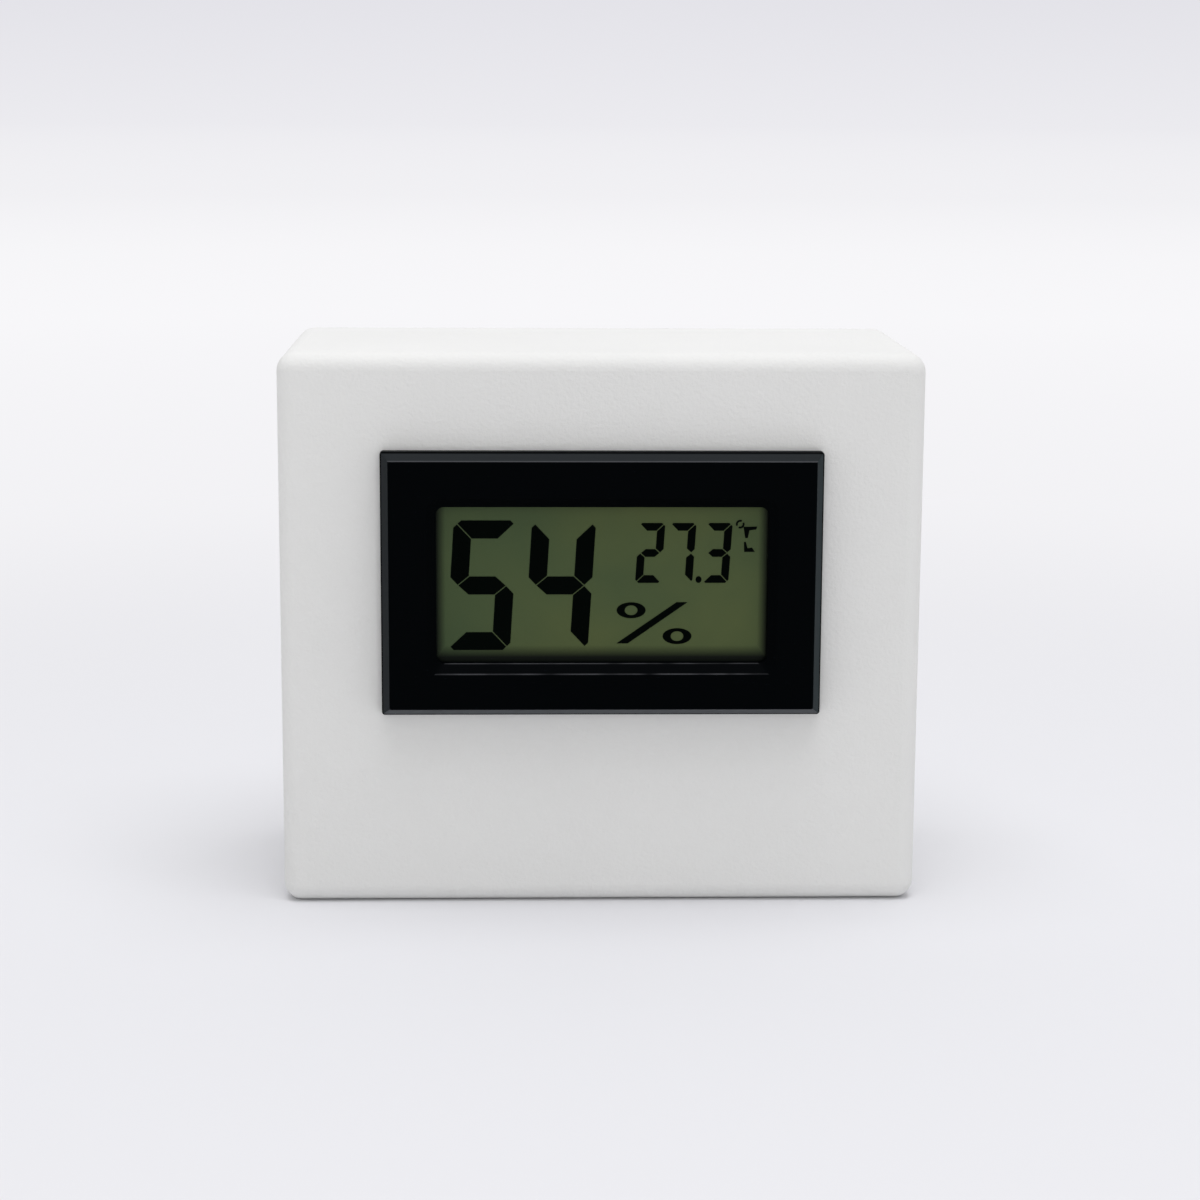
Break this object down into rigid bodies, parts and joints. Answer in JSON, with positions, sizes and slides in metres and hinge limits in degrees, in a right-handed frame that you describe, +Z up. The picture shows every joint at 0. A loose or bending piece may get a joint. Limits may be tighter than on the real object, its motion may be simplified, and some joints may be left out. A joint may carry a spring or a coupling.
{
  "type": "temperature humidity sensor",
  "caption": "Free-standing thermometer and hygrometer: a white box with rounded edges that holds a black panel meter with a liquid crystal display, powered by button cells.",
  "frame": {"origin": "the middle of the box's flat base, halfway between its front and rear faces", "axes": "+X to the right seen from the front, +Y from the front to the rear, +Z up"},
  "size_m": [0.0702, 0.0348, 0.0612],
  "materials": {
    "housing_plastic": "fine matt texture",
    "bezel_plastic": "satin black",
    "display_film": "grey-green film",
    "display_glass": "clear",
    "reflector_film": "matt silver film",
    "zebra_rubber": "matt",
    "foam": "open foam",
    "board_laminate": "solder mask",
    "coating_resin": "cast resin",
    "chip_ceramic": "matt",
    "sensor_ceramic": "matt",
    "contact_metal": "nickel-plated",
    "screw_steel": "zinc-plated",
    "cell_steel": "nickel-plated"
  },
  "bodies": {
    "housing": {"front_housing": "housing_plastic", "rear_cover": "housing_plastic", "cover_screws": "screw_steel", "bezel_case": "bezel_plastic", "module_rear_case": "bezel_plastic", "front_polariser": "display_film", "display_front_glass": "display_glass", "display_rear_glass": "display_glass", "rear_polariser": "reflector_film", "zebra_strip": "zebra_rubber", "foam_strip": "foam", "circuit_board": "board_laminate", "board_screws": "screw_steel", "chip_coating": "coating_resin", "board_components": "chip_ceramic", "humidity_sensor": "sensor_ceramic", "thermistor": "coating_resin", "sensor_leads": "contact_metal", "side_contact": "contact_metal", "cell_spring_left": "contact_metal", "cell_spring_right": "contact_metal", "button_cell_left": "cell_steel", "button_cell_right": "cell_steel"},
    "battery_door": {"battery_door": "housing_plastic", "door_latch": "housing_plastic"}
  },
  "joints": [
    {"name": "battery_door_tilt", "type": "hinge", "parent": "housing", "child": "battery_door", "pos_m": [-0.007, 0.0157, 0.0252], "axis": [-1, 0, 0], "range_deg": [0, 40], "deforming": ["door_latch"]}
  ]
}
